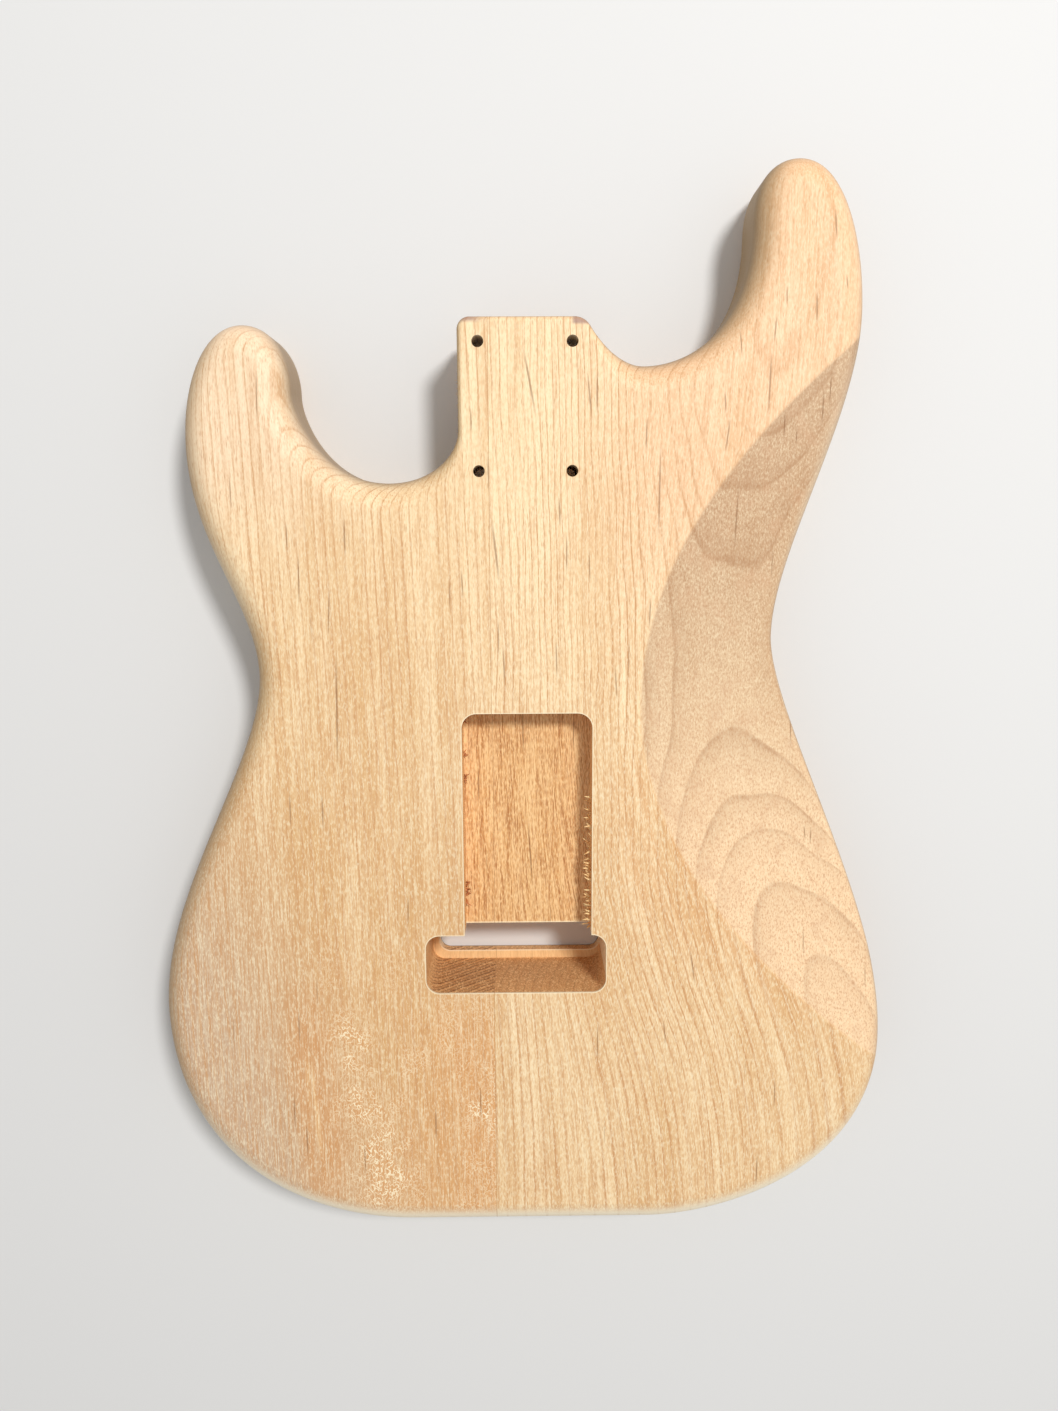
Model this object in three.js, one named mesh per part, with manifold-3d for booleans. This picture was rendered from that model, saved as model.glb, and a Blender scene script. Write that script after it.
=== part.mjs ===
// Electric guitar body in bare wood: two boards glued edge to edge, with two horns, a bolt-on neck heel, a
// belly cut on the back, a forearm cut on the front, and every hollow routed into the joined blank.
//
// The body lies on its front face. X runs across to the bass side, Y runs along the grain to the neck, and Z
// runs up to the back face. The origin is on the centreline and the front face, where the bridge pivots.

import * as THREE from "three";
import { mergeVertices, toCreasedNormals } from "three/addons/utils/BufferGeometryUtils.js";
import Module from "manifold-3d";

const wasm = await Module();
wasm.setup();

// Blank and outline, in millimetres. A reach is measured along Y from the bridge's pivot line. The bass
// horn's overhang and every setback of the neck joint are measured from the end of the heel.
const tailReach = 148;
const heelReach = 253.4;
const bassHornOverhang = 61.6;
const bodyLength = tailReach + heelReach + bassHornOverhang;
const bodyWidth = 322.5;
const bodyThickness = 44.45;
const edgeShare = 0.0394;
const edgeRadius = edgeShare * bodyWidth;
const sandedRadius = 3.5;

// Glue joint between the two boards.
const seamOffset = 15;
const glueThickness = 0.2;

// Heel that carries the neck.
const heelWidth = 54.8;
const heelRootSetback = 44.4;
const bassCrotchSetback = 18;
const trebleCrotchSetback = 64.8;
const heelEdgeRadius = 2.5;
const heelTrebleCornerRadius = 5;
const heelBassCornerRadius = 7.5;

// Neck pocket and the four screw holes through the heel.
const neckPocketWidth = 56;
const neckPocketLength = 76.2;
const neckPocketDepth = 15.9;
const neckPocketCornerRadius = 6.35;
const neckScrewSpacingAcross = 38.1;
const neckScrewSpacingAlong = 50.8;
const neckScrewSetback = 35.2;
const neckScrewHoleDiameter = 4.8;

// Spring cavity, block route and slot, all routed from the back.
const springCavityWidth = 55.6;
const springCavityReach = 92.4;
const springCavityDepth = 15.9;
const springCavityCornerRadius = 6.35;
const slotWallSetback = 6.3;
const blockRouteWidth = 79.3;
const blockRouteLength = 26.6;
const blockRouteOffset = 5.35;
const blockRouteCornerRadius = 6;
const blockLipThickness = 5.3;
const slotWidth = 75.8;
const slotLength = 22.5;
const slotOffset = 3.8;
const slotCornerRadius = 5;

// Routes in the front face for three single pickups, their leads, the controls and the jack.
const pickupRouteLength = 87;
const pickupRouteWidth = 21;
const pickupRouteDepth = 19;
const pickupRouteCornerRadius = 6.35;
const neckPickupReach = 151.5;
const middlePickupReach = 88;
const bridgePickupReach = 32;
const bridgePickupSlant = THREE.MathUtils.degToRad(10.5);
const leadChannelWidth = 12.7;
const leadChannelDepth = 14;
const leadChannelOffset = 34;
const leadChannelCornerRadius = 4;
const controlCavityLength = 140;
const controlCavityWidth = 76;
const controlCavityOffset = 36;
const controlCavityReach = 74;
const controlCavityDepth = 38;
const controlCavityCornerRadius = 9.5;
const jackRouteLength = 58;
const jackRouteWidth = 25;
const jackRouteDepth = 30;
const jackRouteOffset = 121.5;
const jackRouteSetback = 78;
const jackRouteCornerRadius = 8;
const jackRouteTurn = THREE.MathUtils.degToRad(-62);
const jackLeadHoleDiameter = 9.5;
const groundWireHoleDiameter = 4;
const groundWireReach = 84;
const groundWireOffset = 14;

// Belly cut on the back and forearm cut on the front. A large drum, its axis dipping outwards, mills each.
const bellyCut = {
  face: "back",
  drumRadius: 760,
  dip: THREE.MathUtils.degToRad(9.5),
  turn: 0,
  startAcross: 47,
  startAlong: 98,
};
const forearmCut = {
  face: "front",
  drumRadius: 1500,
  dip: THREE.MathUtils.degToRad(9),
  turn: THREE.MathUtils.degToRad(-34),
  startAcross: 98,
  startAlong: -46,
};

// Facets: the longest edge and the widest turn along the outline, the probes of each span's turn, and the
// steps of each rounding and hole.
const facetLength = 16;
const facetTurn = THREE.MathUtils.degToRad(7);
const turnProbes = 32;
const roundingSteps = 5;
const cornerSteps = 5;
const holeSides = 24;
const drumSides = 240;
const creaseAngle = THREE.MathUtils.degToRad(35);

// The last ring of each rounding stands proud by the sanding allowance until its face is trimmed. One overrun
// serves every cut that passes a face.
const sandingAllowance = 0.1;
const overrun = 20;
const weldDistance = 0.0001;

// Stops of the outline, anticlockwise as the back shows them. Each is placed by a share of the half width and
// a share of the length from the tail. The heading is a share of a full turn. Its tangent reaches a share of
// the span before the stop and a share of the span after it.
const bassEdgeShares = [
  { across: 0.335, along: 0, heading: 0, before: 0.31, after: 0.25 },
  { across: 0.992, along: 0.193, heading: 0.25, before: 0.49, after: 0.33 },
  { across: 0.653, along: 0.588, heading: 0.25, before: 0.17, after: 0.26 },
  { across: 0.856, along: 0.871, heading: 0.25, before: 0.31, after: 0.36 },
  { across: 0.682, along: 1, heading: 0.5, before: 0.31, after: 0.21 },
  { across: 0.574, along: 0.946, heading: 0.75, before: 0.7, after: 0.59 },
];
const trebleEdgeShares = [
  { across: -0.597, along: 0.808, heading: 0.25, before: 0.2, after: 0.48 },
  { across: -0.714, along: 0.864, heading: 0.5, before: 0.33, after: 0.29 },
  { across: -0.873, along: 0.761, heading: 0.75, before: 0.47, after: 0.42 },
  { across: -0.712, along: 0.553, heading: 0.75, before: 0.31, after: 0.23 },
  { across: -1.008, along: 0.229, heading: 0.75, before: 0.34, after: 0.43 },
  { across: -0.323, along: 0, heading: 0, before: 0.41, after: 0.6 },
];
const bassCrotchShares = { across: 0.302, heading: 0.5, before: 0.26, after: 0.24 };
const trebleCrotchShares = { across: -0.355, heading: 0.5, before: 0.53, after: 0.49 };
const heelShares = { bassFlankHeading: 0.34, bassFlankBefore: 0.5, rootAfter: 0.24, straight: 0.33 };

// Corners of the control cavity, and the ends of the two holes that meet it, as shares of its width and
// length from its corner by the pickups.
const controlCavityShares = [
  { across: 0, along: 0.09 },
  { across: 0.6, along: 0 },
  { across: 1, along: 0.86 },
  { across: 0.8, along: 1 },
  { across: 0.4, along: 0.79 },
  { across: 0.23, along: 0.47 },
  { across: 0, along: 0.37 },
];
const jackLeadEndShare = { across: 0.7, along: 0.8 };
const groundWireEndShare = { across: 0.4, along: 0.15 };

// Solids from geometries and back.
function solidOf(geometry) {
  const plain = geometry.clone();
  plain.deleteAttribute("normal");
  plain.deleteAttribute("uv");
  const merged = mergeVertices(plain, weldDistance);
  const vertProperties = merged.attributes.position.array;
  const triVerts = new Uint32Array(merged.index.array);
  return new wasm.Manifold(new wasm.Mesh({ numProp: 3, vertProperties, triVerts }));
}

function geometryOf(solid) {
  const { vertProperties, triVerts } = solid.getMesh();
  const geometry = new THREE.BufferGeometry();
  geometry.setAttribute("position", new THREE.BufferAttribute(vertProperties, 3));
  geometry.setIndex(new THREE.BufferAttribute(triVerts, 1));
  return toCreasedNormals(geometry, creaseAngle);
}

// Outline of the body: stops joined by cubic curves.
function stopAtReach({ across, heading, before, after }, reach) {
  return {
    place: new THREE.Vector2((across * bodyWidth) / 2, reach),
    heading: heading * 2 * Math.PI,
    before,
    after,
    radius: edgeRadius,
  };
}

function edgeStop(shares) {
  return stopAtReach(shares, shares.along * bodyLength - tailReach);
}

// A round corner turned anticlockwise: its two stops, with the tangent reach that makes the curve an arc.
function cornerStops(centre, radius, fromHeading, toHeading, before) {
  const turn = toHeading - fromHeading;
  const reach = ((4 / 3) * Math.tan(turn / 4)) / (2 * Math.sin(turn / 2));
  const stopAt = (heading, reaches) => ({
    place: new THREE.Vector2(Math.sin(heading), -Math.cos(heading)).multiplyScalar(radius).add(centre),
    heading,
    radius: heelEdgeRadius,
    ...reaches,
  });
  return [
    stopAt(fromHeading, { before, after: reach }),
    stopAt(toHeading, { before: reach, after: heelShares.straight }),
  ];
}

// The heel, from the crotch under the bass horn to the crotch under the treble horn.
function heelStops() {
  const bassCentre = new THREE.Vector2(
    heelWidth / 2 - heelBassCornerRadius,
    heelReach - heelBassCornerRadius,
  );
  const trebleCentre = new THREE.Vector2(
    heelTrebleCornerRadius - heelWidth / 2,
    heelReach - heelTrebleCornerRadius,
  );
  const flank = heelShares.bassFlankHeading * 2 * Math.PI;
  const end = Math.PI;
  const side = 1.5 * Math.PI;
  const { bassFlankBefore, straight, rootAfter } = heelShares;
  const root = {
    place: new THREE.Vector2(-heelWidth / 2, heelReach - heelRootSetback),
    heading: side,
    before: straight,
    after: rootAfter,
    radius: heelEdgeRadius,
  };
  return [
    stopAtReach(bassCrotchShares, heelReach - bassCrotchSetback),
    ...cornerStops(bassCentre, heelBassCornerRadius, flank, end, bassFlankBefore),
    ...cornerStops(trebleCentre, heelTrebleCornerRadius, end, side, straight),
    root,
    stopAtReach(trebleCrotchShares, heelReach - trebleCrotchSetback),
  ];
}

function headingVector(angle) {
  return new THREE.Vector2(Math.cos(angle), Math.sin(angle));
}

function spanBetween(start, end) {
  const chord = start.place.distanceTo(end.place);
  const leaving = headingVector(start.heading).multiplyScalar(start.after * chord);
  const arriving = headingVector(end.heading).multiplyScalar(-end.before * chord);
  return new THREE.CubicBezierCurve(
    start.place,
    leaving.add(start.place),
    arriving.add(end.place),
    end.place,
  );
}

// Facets that a span needs for its length and its turn.
function facetsOf(span) {
  let turned = 0;
  for (let i = 0; i < turnProbes; i += 1) {
    const here = span.getTangent(i / turnProbes);
    const next = span.getTangent((i + 1) / turnProbes);
    turned += Math.abs(Math.atan2(here.cross(next), here.dot(next)));
  }
  return Math.ceil(span.getLength() / facetLength + turned / facetTurn);
}

function outlinePoints() {
  const stops = [
    ...bassEdgeShares.map(edgeStop),
    ...heelStops(),
    ...trebleEdgeShares.map(edgeStop),
  ];
  const points = [];
  stops.forEach((start, index) => {
    const end = stops[(index + 1) % stops.length];
    const span = spanBetween(start, end);
    const facets = facetsOf(span);
    for (let i = 0; i < facets; i += 1) {
      const share = i / facets;
      const tangent = span.getTangent(share);
      const blend = THREE.MathUtils.smoothstep(share, 0, 1);
      points.push({
        place: span.getPoint(share),
        inwards: new THREE.Vector2(-tangent.y, tangent.x),
        radius: THREE.MathUtils.lerp(start.radius, end.radius, blend),
      });
    }
  });
  return points;
}

// Depth of a contour cut below its face at a place, negative where the drum passes clear of the wood.
function cutDepth(cut, place) {
  const offset = place.clone().sub(new THREE.Vector2(cut.startAcross, cut.startAlong));
  offset.rotateAround(new THREE.Vector2(), -cut.turn);
  const rise = cut.drumRadius - Math.sqrt(cut.drumRadius ** 2 - offset.y ** 2);
  return offset.x * Math.tan(cut.dip) - rise / Math.cos(cut.dip);
}

// A sample where the cut's border crosses the ring on the face, so that the ring turns there only.
function withBorderSamples(points, cut) {
  const depthOnFace = ({ place, inwards, radius }) =>
    cutDepth(cut, inwards.clone().multiplyScalar(radius).add(place));
  return points.flatMap((point, index) => {
    const next = points[(index + 1) % points.length];
    const depth = depthOnFace(point);
    const nextDepth = depthOnFace(next);
    if (depth > 0 === nextDepth > 0) return [point];
    const share = depth / (depth - nextDepth);
    const crossing = {
      place: point.place.clone().lerp(next.place, share),
      inwards: point.inwards.clone().lerp(next.inwards, share).normalize(),
      radius: THREE.MathUtils.lerp(point.radius, next.radius, share),
    };
    return [point, crossing];
  });
}

// One ring of a rounded edge. The angle is zero on the side wall and a quarter turn on the face. Where a
// contour has cut the rounding away, the radius shrinks to the sanded one.
function edgeRing(points, cut, angle) {
  const onFace = angle === Math.PI / 2;
  return points.map(({ place, inwards, radius }) => {
    const lost = Math.max(0, cutDepth(cut, place));
    const remaining = Math.min(radius, Math.max(sandedRadius, edgeRadius - lost));
    const inset = remaining * (1 - Math.cos(angle));
    const at = inwards.clone().multiplyScalar(inset).add(place);
    const below = Math.max(0, cutDepth(cut, at)) + remaining * (1 - Math.sin(angle));
    const depth = onFace ? below - sandingAllowance : below;
    const height = cut.face === "back" ? bodyThickness - depth : depth;
    return new THREE.Vector3(at.x, at.y, height);
  });
}

function ringAtHeight(ring, height) {
  return ring.map((point) => new THREE.Vector3(point.x, point.y, height));
}

// Triangles of a flat cap. A point on a straight edge has been skipped, so its triangle is split there.
function capFaces(ring) {
  const contour = ring.map((point) => new THREE.Vector2(point.x, point.y));
  const faces = THREE.ShapeUtils.triangulateShape(contour, []);
  const used = new Set(faces.flat());
  const after = (index) => (index + 1) % contour.length;
  const split = ([a, b, c]) => {
    for (const [start, end, apex] of [[a, b, c], [b, c, a], [c, a, b]]) {
      const skipped = after(start);
      let stop = skipped;
      while (!used.has(stop)) stop = after(stop);
      if (stop === end && skipped !== end) {
        used.add(skipped);
        return [...split([start, skipped, apex]), ...split([skipped, end, apex])];
      }
    }
    return [[a, b, c]];
  };
  return faces.flatMap(split);
}

// Closed solid through rings of equal count, with a flat cap on the first and the last.
function loft(rings) {
  const count = rings[0].length;
  const positions = rings.flat().flatMap((point) => point.toArray());
  const faces = [];
  for (let level = 0; level < rings.length - 1; level += 1) {
    for (let i = 0; i < count; i += 1) {
      const next = (i + 1) % count;
      const low = level * count;
      const high = low + count;
      faces.push(low + i, low + next, high + next, low + i, high + next, high + i);
    }
  }
  const top = (rings.length - 1) * count;
  capFaces(rings.at(-1)).forEach(([a, b, c]) => faces.push(top + a, top + b, top + c));
  capFaces(rings[0]).forEach(([a, b, c]) => faces.push(c, b, a));
  const geometry = new THREE.BufferGeometry();
  geometry.setAttribute("position", new THREE.Float32BufferAttribute(positions, 3));
  geometry.setIndex(faces);
  return solidOf(geometry);
}

function roughBlank() {
  const points = withBorderSamples(withBorderSamples(outlinePoints(), bellyCut), forearmCut);
  const angles = Array.from({ length: roundingSteps + 1 }, (_, i) => ((i / roundingSteps) * Math.PI) / 2);
  const backRings = angles.map((angle) => edgeRing(points, bellyCut, angle));
  const frontRings = angles.map((angle) => edgeRing(points, forearmCut, angle)).reverse();
  const backStock = ringAtHeight(backRings.at(-1), bodyThickness + overrun);
  const frontStock = ringAtHeight(frontRings[0], -overrun);
  return loft([frontStock, ...frontRings, ...backRings, backStock]);
}

// Stock above the back face or below the front face.
function faceStock(height, direction) {
  const side = 2 * (bodyLength + bodyWidth);
  const thickness = 2 * overrun;
  const box = new THREE.BoxGeometry(side, side, thickness);
  box.translate(0, 0, height + (direction * thickness) / 2);
  return solidOf(box);
}

// The drum of a contour cut. Its facets lie outside the true radius, so that they never leave wood standing.
function drum(cut) {
  const radius = cut.drumRadius / Math.cos(Math.PI / drumSides);
  const geometry = new THREE.CylinderGeometry(radius, radius, 2 * bodyLength, drumSides);
  geometry.rotateZ(-Math.PI / 2);
  const upwards = cut.face === "back" ? 1 : -1;
  geometry.rotateY(upwards * cut.dip);
  const faceHeight = cut.face === "back" ? bodyThickness : 0;
  geometry.translate(0, 0, faceHeight + (upwards * cut.drumRadius) / Math.cos(cut.dip));
  geometry.rotateZ(cut.turn);
  geometry.translate(cut.startAcross, cut.startAlong, 0);
  return solidOf(geometry);
}

function shapedBlank() {
  return roughBlank()
    .subtract(faceStock(bodyThickness, 1))
    .subtract(faceStock(0, -1))
    .subtract(drum(bellyCut))
    .subtract(drum(forearmCut));
}

// Routes: a flat outline with round corners, sunk from one height to another.
function roundedOutline(corners, radius) {
  const shape = new THREE.Shape();
  corners.forEach((corner, index) => {
    const before = corners.at(index - 1).clone().sub(corner).normalize();
    const after = corners[(index + 1) % corners.length].clone().sub(corner).normalize();
    const halfAngle = Math.acos(before.dot(after)) / 2;
    const bisector = before.clone().add(after).normalize();
    const centre = bisector.multiplyScalar(radius / Math.sin(halfAngle)).add(corner);
    const turnsLeft = after.cross(before) > 0;
    const outwards = turnsLeft ? 1 : -1;
    const start = new THREE.Vector2(before.y, -before.x).multiplyScalar(-outwards).angle();
    const end = new THREE.Vector2(after.y, -after.x).multiplyScalar(outwards).angle();
    shape.absarc(centre.x, centre.y, radius, start, end, !turnsLeft);
  });
  return shape;
}

function rectangle(width, length) {
  return [
    new THREE.Vector2(-width / 2, -length / 2),
    new THREE.Vector2(width / 2, -length / 2),
    new THREE.Vector2(width / 2, length / 2),
    new THREE.Vector2(-width / 2, length / 2),
  ];
}

function route({ corners, radius, fromHeight, toHeight, x = 0, y = 0, turn = 0 }) {
  const geometry = new THREE.ExtrudeGeometry(roundedOutline(corners, radius), {
    depth: toHeight - fromHeight,
    bevelEnabled: false,
    curveSegments: cornerSteps,
  });
  geometry.rotateZ(turn);
  geometry.translate(x, y, fromHeight);
  return solidOf(geometry);
}

function hole(start, end, diameter) {
  const direction = end.clone().sub(start);
  const geometry = new THREE.CylinderGeometry(diameter / 2, diameter / 2, direction.length(), holeSides);
  const turn = new THREE.Quaternion().setFromUnitVectors(
    new THREE.Vector3(0, 1, 0),
    direction.clone().normalize(),
  );
  geometry.applyQuaternion(turn);
  geometry.translate(...start.clone().add(end).multiplyScalar(0.5).toArray());
  return solidOf(geometry);
}

// Neck joint.
function neckPocket() {
  const length = neckPocketLength + overrun;
  return route({
    corners: rectangle(neckPocketWidth, length),
    radius: neckPocketCornerRadius,
    fromHeight: -overrun,
    toHeight: neckPocketDepth,
    y: heelReach - neckPocketLength + length / 2,
  });
}

function neckScrewHoles() {
  const holes = [];
  for (const across of [-1, 1]) {
    for (const along of [-1, 1]) {
      const x = (across * neckScrewSpacingAcross) / 2;
      const y = heelReach - neckScrewSetback + (along * neckScrewSpacingAlong) / 2;
      const front = new THREE.Vector3(x, y, -overrun);
      const back = new THREE.Vector3(x, y, bodyThickness + overrun);
      holes.push(hole(front, back, neckScrewHoleDiameter));
    }
  }
  return holes;
}

// Hollows for the vibrato bridge. All three share the wall just behind the pivot line.
function springCavity() {
  const tailEnd = -slotWallSetback - blockRouteCornerRadius;
  const length = springCavityReach - tailEnd;
  return route({
    corners: rectangle(springCavityWidth, length),
    radius: springCavityCornerRadius,
    fromHeight: bodyThickness - springCavityDepth,
    toHeight: bodyThickness + overrun,
    y: tailEnd + length / 2,
  });
}

function blockRoute() {
  return route({
    corners: rectangle(blockRouteWidth, blockRouteLength),
    radius: blockRouteCornerRadius,
    fromHeight: blockLipThickness,
    toHeight: bodyThickness + overrun,
    x: -blockRouteOffset,
    y: -slotWallSetback - blockRouteLength / 2,
  });
}

function blockSlot() {
  return route({
    corners: rectangle(slotWidth, slotLength),
    radius: slotCornerRadius,
    fromHeight: -overrun,
    toHeight: bodyThickness / 2,
    x: -slotOffset,
    y: -slotWallSetback - slotLength / 2,
  });
}

// Hollows in the front face.
function pickupRoute(reach, slant) {
  return route({
    corners: rectangle(pickupRouteLength, pickupRouteWidth),
    radius: pickupRouteCornerRadius,
    fromHeight: -overrun,
    toHeight: pickupRouteDepth,
    y: reach,
    turn: slant,
  });
}

function leadChannel() {
  const length = neckPickupReach - bridgePickupReach;
  return route({
    corners: rectangle(leadChannelWidth, length),
    radius: leadChannelCornerRadius,
    fromHeight: -overrun,
    toHeight: leadChannelDepth,
    x: -leadChannelOffset,
    y: bridgePickupReach + length / 2,
  });
}

function controlCavityPlace({ across, along }) {
  return new THREE.Vector2(
    -controlCavityOffset - across * controlCavityWidth,
    controlCavityReach - along * controlCavityLength,
  );
}

function controlCavity() {
  return route({
    corners: controlCavityShares.map(controlCavityPlace),
    radius: controlCavityCornerRadius,
    fromHeight: -overrun,
    toHeight: controlCavityDepth,
  });
}

function jackRoute() {
  return route({
    corners: rectangle(jackRouteLength, jackRouteWidth),
    radius: jackRouteCornerRadius,
    fromHeight: -overrun,
    toHeight: jackRouteDepth,
    x: -jackRouteOffset,
    y: -jackRouteSetback,
    turn: jackRouteTurn,
  });
}

function jackLeadHole() {
  const height = jackRouteDepth / 2;
  const cavityEnd = controlCavityPlace(jackLeadEndShare);
  const start = new THREE.Vector3(-jackRouteOffset, -jackRouteSetback, height);
  const end = new THREE.Vector3(cavityEnd.x, cavityEnd.y, height);
  return hole(start, end, jackLeadHoleDiameter);
}

function groundWireHole() {
  const height = (bodyThickness - springCavityDepth + controlCavityDepth) / 2;
  const cavityEnd = controlCavityPlace(groundWireEndShare);
  const start = new THREE.Vector3(-groundWireOffset, groundWireReach, height);
  const end = new THREE.Vector3(cavityEnd.x, cavityEnd.y, height);
  return hole(start, end, groundWireHoleDiameter);
}

function routedBlank() {
  const cuts = [
    neckPocket(),
    ...neckScrewHoles(),
    springCavity(),
    blockRoute(),
    blockSlot(),
    pickupRoute(neckPickupReach, 0),
    pickupRoute(middlePickupReach, 0),
    pickupRoute(bridgePickupReach, bridgePickupSlant),
    leadChannel(),
    controlCavity(),
    jackRoute(),
    jackLeadHole(),
    groundWireHole(),
  ];
  return cuts.reduce((wood, cut) => wood.subtract(cut), shapedBlank());
}

// The glued blank comes apart at its seam: the part of it between two places across and two places along.
function portion(wood, fromX, toX, fromY, toY) {
  const box = new THREE.BoxGeometry(toX - fromX, toY - fromY, bodyThickness + 2 * overrun);
  box.translate((fromX + toX) / 2, (fromY + toY) / 2, bodyThickness / 2);
  return wood.intersect(solidOf(box));
}

const materials = {
  treble_board: { color: 0xe6c795, roughness: 0.62, metalness: 0 },
  bass_board: { color: 0xe9c99b, roughness: 0.62, metalness: 0 },
  glue: { color: 0xc9a36b, roughness: 0.5, metalness: 0 },
};

function piece(name, solid, finish) {
  const mesh = new THREE.Mesh(geometryOf(solid), new THREE.MeshStandardMaterial(finish));
  mesh.name = name;
  return mesh;
}

function guitarBody() {
  const wood = routedBlank();
  const far = bodyLength;
  const trebleFace = -seamOffset - glueThickness / 2;
  const bassFace = -seamOffset + glueThickness / 2;
  const slotMiddle = -slotWallSetback - slotLength / 2;
  const body = new THREE.Group();
  body.add(
    piece("treble_board", portion(wood, -far, trebleFace, -far, far), materials.treble_board),
    piece("bass_board", portion(wood, bassFace, far, -far, far), materials.bass_board),
    piece("glue_line_neck", portion(wood, trebleFace, bassFace, slotMiddle, far), materials.glue),
    piece("glue_line_tail", portion(wood, trebleFace, bassFace, -far, slotMiddle), materials.glue),
  );
  return body;
}

export default guitarBody();
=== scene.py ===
import math
import bpy
import numpy as np
from mathutils import Matrix, Vector


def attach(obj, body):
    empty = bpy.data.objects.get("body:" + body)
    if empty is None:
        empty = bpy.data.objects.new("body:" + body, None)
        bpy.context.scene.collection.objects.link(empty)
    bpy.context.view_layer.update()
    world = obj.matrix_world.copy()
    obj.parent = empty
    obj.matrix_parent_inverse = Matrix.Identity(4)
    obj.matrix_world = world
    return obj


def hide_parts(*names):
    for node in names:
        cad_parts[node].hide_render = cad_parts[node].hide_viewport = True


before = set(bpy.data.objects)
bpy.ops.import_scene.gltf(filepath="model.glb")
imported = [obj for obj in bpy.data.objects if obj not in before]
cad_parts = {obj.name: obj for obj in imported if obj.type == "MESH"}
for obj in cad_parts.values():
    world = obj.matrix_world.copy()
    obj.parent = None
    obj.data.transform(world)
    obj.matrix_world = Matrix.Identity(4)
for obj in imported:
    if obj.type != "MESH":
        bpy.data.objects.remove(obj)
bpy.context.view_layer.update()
scene = bpy.context.scene
mm = 0.001

# Camera
# It hangs above the back face, a little towards the neck, and leans towards the tail.
camera_place = Vector((-3.41, 168.07, 480.81)) * mm
camera_lean = math.radians(-9.385)
camera_swing = math.radians(-0.556)
camera_roll = math.radians(-0.378)
camera_data = bpy.data.cameras.new("camera")
camera_data.sensor_width = 36
camera_data.lens = 26.713
camera = bpy.data.objects.new("camera", camera_data)
camera.location = camera_place
lean = Matrix.Rotation(camera_lean, 3, "X")
swing = Matrix.Rotation(camera_swing, 3, "Y")
roll = Matrix.Rotation(camera_roll, 3, "Z")
camera.rotation_euler = (lean @ swing @ roll).to_euler()
scene.collection.objects.link(camera)
scene.camera = camera

# Blank
# Two alder boards are glued edge to edge, bandsawn and routed to the outline, and their edges are rounded
# over. The curves are the CAD part's own, with closer points, so that the wood shows no facets.
tail_reach = 148
heel_reach = 253.4
body_length = 463
body_width = 322.5
edge_radius = 12.7
facet_length = 2.4
facet_turn = math.radians(2.4)
bass_edge_shares = [
    (0.335, 0, 0, 0.31, 0.25),
    (0.992, 0.193, 0.25, 0.49, 0.33),
    (0.653, 0.588, 0.25, 0.17, 0.26),
    (0.856, 0.871, 0.25, 0.31, 0.36),
    (0.682, 1, 0.5, 0.31, 0.21),
    (0.574, 0.946, 0.75, 0.7, 0.59),
]
treble_edge_shares = [
    (-0.597, 0.808, 0.25, 0.2, 0.48),
    (-0.714, 0.864, 0.5, 0.33, 0.29),
    (-0.873, 0.761, 0.75, 0.47, 0.42),
    (-0.712, 0.553, 0.75, 0.31, 0.23),
    (-1.008, 0.229, 0.75, 0.34, 0.43),
    (-0.323, 0, 0, 0.41, 0.6),
]
heel_width = 54.8
heel_root_setback = 44.4
bass_crotch_setback = 18
treble_crotch_setback = 64.8
heel_edge_radius = 2.5
heel_treble_corner = 5
heel_bass_corner = 7.5
bass_flank_share = 0.34


def stop_at(x, y, heading_share, before, after, radius=edge_radius):
    """A stop of the outline: its place, heading, tangent reaches and the radius of its rounding."""
    return {
        "place": np.array([x, y]),
        "heading": heading_share * 2 * math.pi,
        "before": before,
        "after": after,
        "radius": radius,
    }


def edge_stop(across, along, heading, before, after):
    x = across * body_width / 2
    return stop_at(x, along * body_length - tail_reach, heading, before, after)


def corner_stops(centre_x, centre_y, radius, from_share, to_share, before, after):
    """A round corner of the heel: the two stops of its arc."""
    turn = (to_share - from_share) * 2 * math.pi
    reach = 4 / 3 * math.tan(turn / 4) / (2 * math.sin(turn / 2))
    stops = []
    for share, reaches in ((from_share, (before, reach)), (to_share, (reach, after))):
        angle = share * 2 * math.pi
        x = centre_x + radius * math.sin(angle)
        y = centre_y - radius * math.cos(angle)
        stops.append(stop_at(x, y, share, *reaches, heel_edge_radius))
    return stops


def heel_stops():
    half = heel_width / 2
    bass = (half - heel_bass_corner, heel_reach - heel_bass_corner)
    treble = (heel_treble_corner - half, heel_reach - heel_treble_corner)
    return [
        stop_at(0.302 * body_width / 2, heel_reach - bass_crotch_setback, 0.5, 0.26, 0.24),
        *corner_stops(*bass, heel_bass_corner, bass_flank_share, 0.5, 0.5, 0.33),
        *corner_stops(*treble, heel_treble_corner, 0.5, 0.75, 0.33, 0.33),
        stop_at(-half, heel_reach - heel_root_setback, 0.75, 0.33, 0.24, heel_edge_radius),
        stop_at(-0.355 * body_width / 2, heel_reach - treble_crotch_setback, 0.5, 0.53, 0.49),
    ]


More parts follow.
